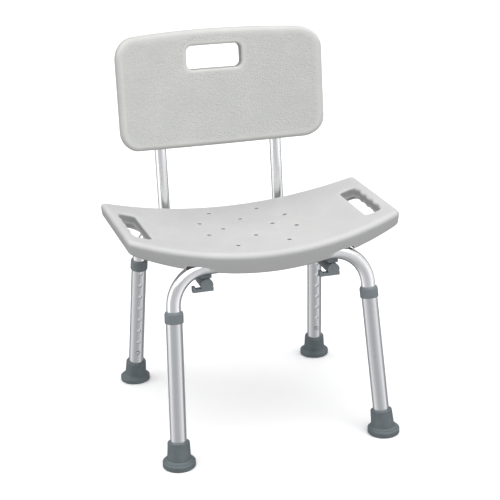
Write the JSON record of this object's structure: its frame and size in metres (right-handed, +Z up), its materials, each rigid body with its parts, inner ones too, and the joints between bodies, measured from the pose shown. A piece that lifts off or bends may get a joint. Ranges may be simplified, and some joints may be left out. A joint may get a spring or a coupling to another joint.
{
  "type": "shower chair",
  "caption": "Shower chair with a dished, drained seat, a curved back panel with a handle slot, and splayed tube legs that adjust in height.",
  "frame": {"origin": "on the floor, at the centre of the overall box", "axes": "+X to the sitter's left as seen from the front (the viewer's right), +Y towards the back panel, +Z up"},
  "size_m": [0.5, 0.4538, 0.6863],
  "materials": {
    "seat_plastic": "fine-grained blow-moulded polyethylene, matte light gray",
    "back_plastic": "pebble-grained blow-moulded polyethylene, matte light gray",
    "bright_tube": "bright anodised aluminium tube",
    "satin_tube": "satin anodised aluminium tube",
    "gray_plastic": "satin moulded plastic",
    "rubber": "moulded rubber",
    "spring_steel": "bent spring strip",
    "steel": "stainless steel"
  },
  "bodies": {
    "chair": {"seat_panel": "seat_plastic", "back_panel": "back_plastic", "front_leg_frame": "bright_tube", "rear_leg_frame": "bright_tube", "back_tube_left": "bright_tube", "back_tube_right": "bright_tube", "back_tube_cap_left": "gray_plastic", "back_tube_cap_right": "gray_plastic", "front_saddle_left": "gray_plastic", "front_saddle_right": "gray_plastic", "rear_saddle_left": "gray_plastic", "rear_saddle_right": "gray_plastic", "seat_screws": "steel", "saddle_screws": "steel", "back_screws": "steel", "snap_spring_front_left": "spring_steel", "snap_spring_front_right": "spring_steel", "snap_spring_rear_left": "spring_steel", "snap_spring_rear_right": "spring_steel"},
    "leg_front_left": {"leg_tube_front_left": "satin_tube", "leg_collar_front_left": "gray_plastic", "foot_tip_front_left": "rubber", "foot_washer_front_left": "steel"},
    "button_front_left": {"snap_button_front_left": "steel"},
    "leg_front_right": {"leg_tube_front_right": "satin_tube", "leg_collar_front_right": "gray_plastic", "foot_tip_front_right": "rubber", "foot_washer_front_right": "steel"},
    "button_front_right": {"snap_button_front_right": "steel"},
    "leg_rear_left": {"leg_tube_rear_left": "satin_tube", "leg_collar_rear_left": "gray_plastic", "foot_tip_rear_left": "rubber", "foot_washer_rear_left": "steel"},
    "button_rear_left": {"snap_button_rear_left": "steel"},
    "leg_rear_right": {"leg_tube_rear_right": "satin_tube", "leg_collar_rear_right": "gray_plastic", "foot_tip_rear_right": "rubber", "foot_washer_rear_right": "steel"},
    "button_rear_right": {"snap_button_rear_right": "steel"},
    "latch_left": {"back_latch_left": "gray_plastic"},
    "latch_right": {"back_latch_right": "gray_plastic"}
  },
  "joints": [
    {"name": "leg_slide_front_left", "type": "slide", "parent": "chair", "child": "leg_front_left", "axis": [-0.0466, -0.1656, -0.9851], "range_m": [0, 0.1524]},
    {"name": "button_press_front_left", "type": "slide", "parent": "chair", "child": "button_front_left", "axis": [0, -0.9862, 0.1658], "range_m": [0, 0.005], "stiffness_N_per_m": 1500, "springref_m": -0.002, "deforming": ["snap_spring_front_left"]},
    {"name": "leg_slide_front_right", "type": "slide", "parent": "chair", "child": "leg_front_right", "axis": [0.0466, -0.1656, -0.9851], "range_m": [0, 0.1524]},
    {"name": "button_press_front_right", "type": "slide", "parent": "chair", "child": "button_front_right", "axis": [0, -0.9862, 0.1658], "range_m": [0, 0.005], "stiffness_N_per_m": 1500, "springref_m": -0.002, "deforming": ["snap_spring_front_right"]},
    {"name": "leg_slide_rear_left", "type": "slide", "parent": "chair", "child": "leg_rear_left", "axis": [-0.0466, 0.1656, -0.9851], "range_m": [0, 0.1524]},
    {"name": "button_press_rear_left", "type": "slide", "parent": "chair", "child": "button_rear_left", "axis": [0, 0.9862, 0.1658], "range_m": [0, 0.005], "stiffness_N_per_m": 1500, "springref_m": -0.002, "deforming": ["snap_spring_rear_left"]},
    {"name": "leg_slide_rear_right", "type": "slide", "parent": "chair", "child": "leg_rear_right", "axis": [0.0466, 0.1656, -0.9851], "range_m": [0, 0.1524]},
    {"name": "button_press_rear_right", "type": "slide", "parent": "chair", "child": "button_rear_right", "axis": [0, 0.9862, 0.1658], "range_m": [0, 0.005], "stiffness_N_per_m": 1500, "springref_m": -0.002, "deforming": ["snap_spring_rear_right"]},
    {"name": "latch_turn_left", "type": "hinge", "parent": "chair", "child": "latch_left", "pos_m": [-0.115, -0.12117, 0.3045], "axis": [0, 1, 0], "range_deg": [-90, 0]},
    {"name": "latch_turn_right", "type": "hinge", "parent": "chair", "child": "latch_right", "pos_m": [0.115, -0.12117, 0.3045], "axis": [0, 1, 0], "range_deg": [-90, 0]}
  ]
}
